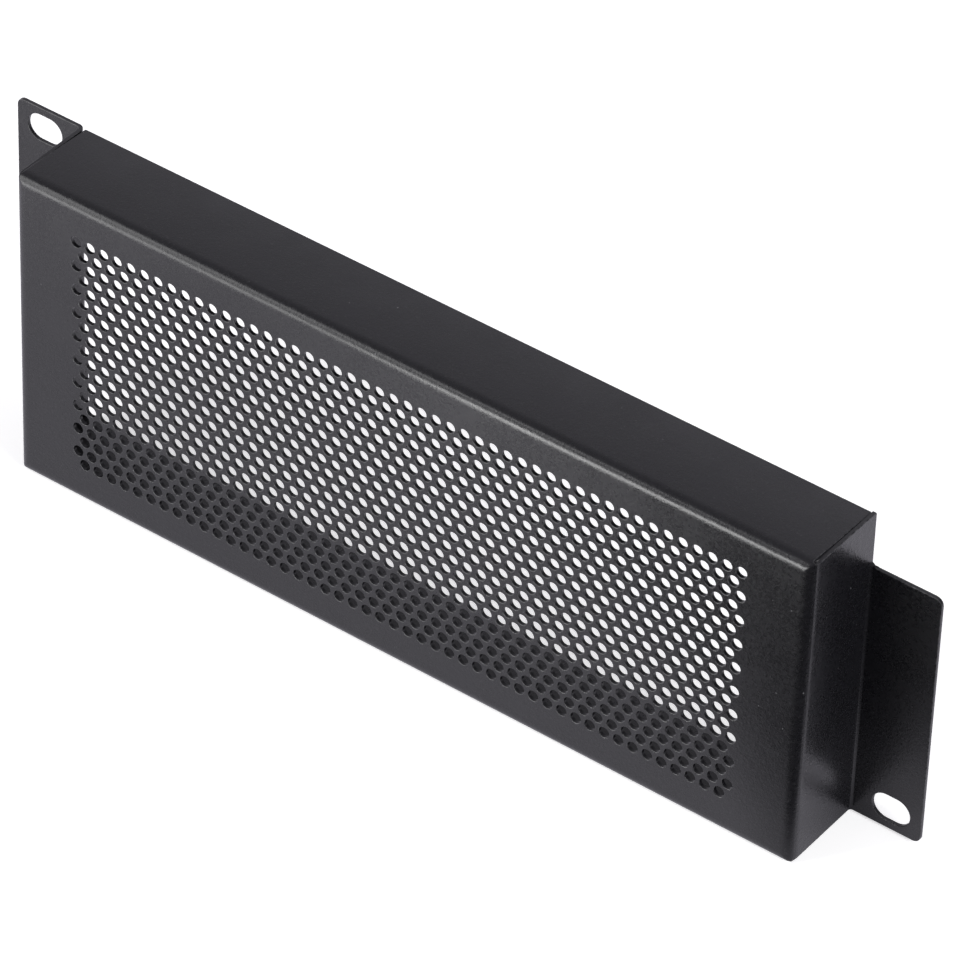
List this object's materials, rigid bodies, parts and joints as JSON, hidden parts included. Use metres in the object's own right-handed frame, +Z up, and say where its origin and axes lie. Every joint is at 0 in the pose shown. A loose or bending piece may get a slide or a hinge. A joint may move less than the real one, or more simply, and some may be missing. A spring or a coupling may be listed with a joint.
{
  "type": "vented rack security panel",
  "caption": "Folded steel cover with a perforated face and slotted ears, screwed over equipment in a half-width rack bay to keep hands off its controls while air passes.",
  "frame": {"origin": "bottom centre of the bounding box: midway between the ears, midway between the front face and the ears' mounting faces, on the outer face of the bottom flange", "axes": "+X to the right seen from the front, along the panel's width; +Y from the front face to the mounting faces, so the front looks along -Y; +Z up along the panel's height"},
  "size_m": [0.262, 0.0248, 0.0881],
  "materials": {
    "black_powder_coat": "fine-textured satin black powder coat"
  },
  "bodies": {
    "root": {"vented_panel": "black_powder_coat"}
  },
  "joints": []
}
